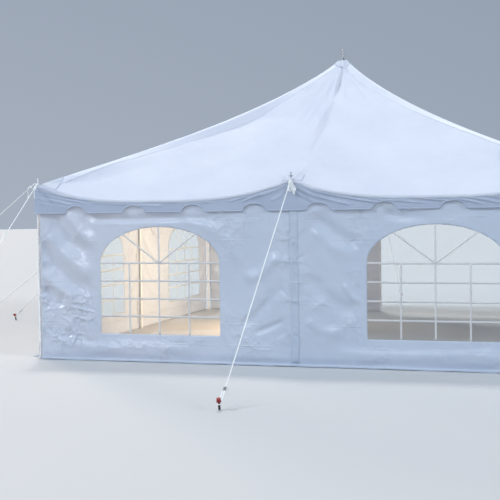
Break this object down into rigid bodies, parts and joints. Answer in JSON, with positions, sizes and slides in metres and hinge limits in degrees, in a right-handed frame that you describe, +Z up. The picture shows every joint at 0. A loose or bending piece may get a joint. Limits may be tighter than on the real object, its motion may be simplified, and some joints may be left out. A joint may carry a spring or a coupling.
{
  "type": "pole marquee tent",
  "caption": "Square peg-and-pole marquee with a sagging hipped canopy, scalloped valance, walls with arched clear windows, guy ropes and stakes, and one open bay at the back.",
  "frame": {"origin": "on the ground under the centre pole, at the centre of the whole tent with its stakes", "axes": "+Z up, -Y towards the closed front side, +X to the right as the front is looked at"},
  "size_m": [11.1944, 11.1944, 3.88],
  "materials": {
    "canopy_cloth": "white coated cloth, satin, slightly translucent",
    "wall_cloth": "thin white coated cloth, satin, creased from packing",
    "window_film": "clear soft film, glossy, slightly rippled",
    "pole_steel": "white paint, satin, bare steel pins",
    "guy_rope": "white braided rope",
    "stake_steel": "dark steel with a dark red head"
  },
  "bodies": {
    "root": {"centre_pole": "pole_steel", "guy_rope_back": "guy_rope", "guy_rope_back_left_back": "guy_rope", "guy_rope_back_left_left": "guy_rope", "guy_rope_back_right_back": "guy_rope", "guy_rope_back_right_right": "guy_rope", "guy_rope_front": "guy_rope", "guy_rope_front_left_front": "guy_rope", "guy_rope_front_left_left": "guy_rope", "guy_rope_front_right_front": "guy_rope", "guy_rope_front_right_right": "guy_rope", "guy_rope_left_back": "guy_rope", "guy_rope_left_front": "guy_rope", "guy_rope_right_back": "guy_rope", "guy_rope_right_front": "guy_rope", "peak_crown": "canopy_cloth", "roof_panel_back": "canopy_cloth", "roof_panel_front": "canopy_cloth", "roof_panel_left": "canopy_cloth", "roof_panel_right": "canopy_cloth", "side_pole_back": "pole_steel", "side_pole_back_left": "pole_steel", "side_pole_back_right": "pole_steel", "side_pole_front": "pole_steel", "side_pole_front_left": "pole_steel", "side_pole_front_right": "pole_steel", "side_pole_left": "pole_steel", "side_pole_right": "pole_steel", "stake_back": "stake_steel", "stake_back_left_back": "stake_steel", "stake_back_left_left": "stake_steel", "stake_back_right_back": "stake_steel", "stake_back_right_right": "stake_steel", "stake_front": "stake_steel", "stake_front_left_front": "stake_steel", "stake_front_left_left": "stake_steel", "stake_front_right_front": "stake_steel", "stake_front_right_right": "stake_steel", "stake_left_back": "stake_steel", "stake_left_front": "stake_steel", "stake_right_back": "stake_steel", "stake_right_front": "stake_steel", "valance_back": "canopy_cloth", "valance_front": "canopy_cloth", "valance_left": "canopy_cloth", "valance_right": "canopy_cloth", "wall_back_left": "wall_cloth", "wall_front_left": "wall_cloth", "wall_front_right": "wall_cloth", "wall_left_back": "wall_cloth", "wall_left_front": "wall_cloth", "wall_right_back": "wall_cloth", "wall_right_front": "wall_cloth", "window_back_left": "window_film", "window_front_left": "window_film", "window_front_right": "window_film", "window_left_back": "window_film", "window_left_front": "window_film", "window_right_back": "window_film", "window_right_front": "window_film"}
  },
  "joints": []
}
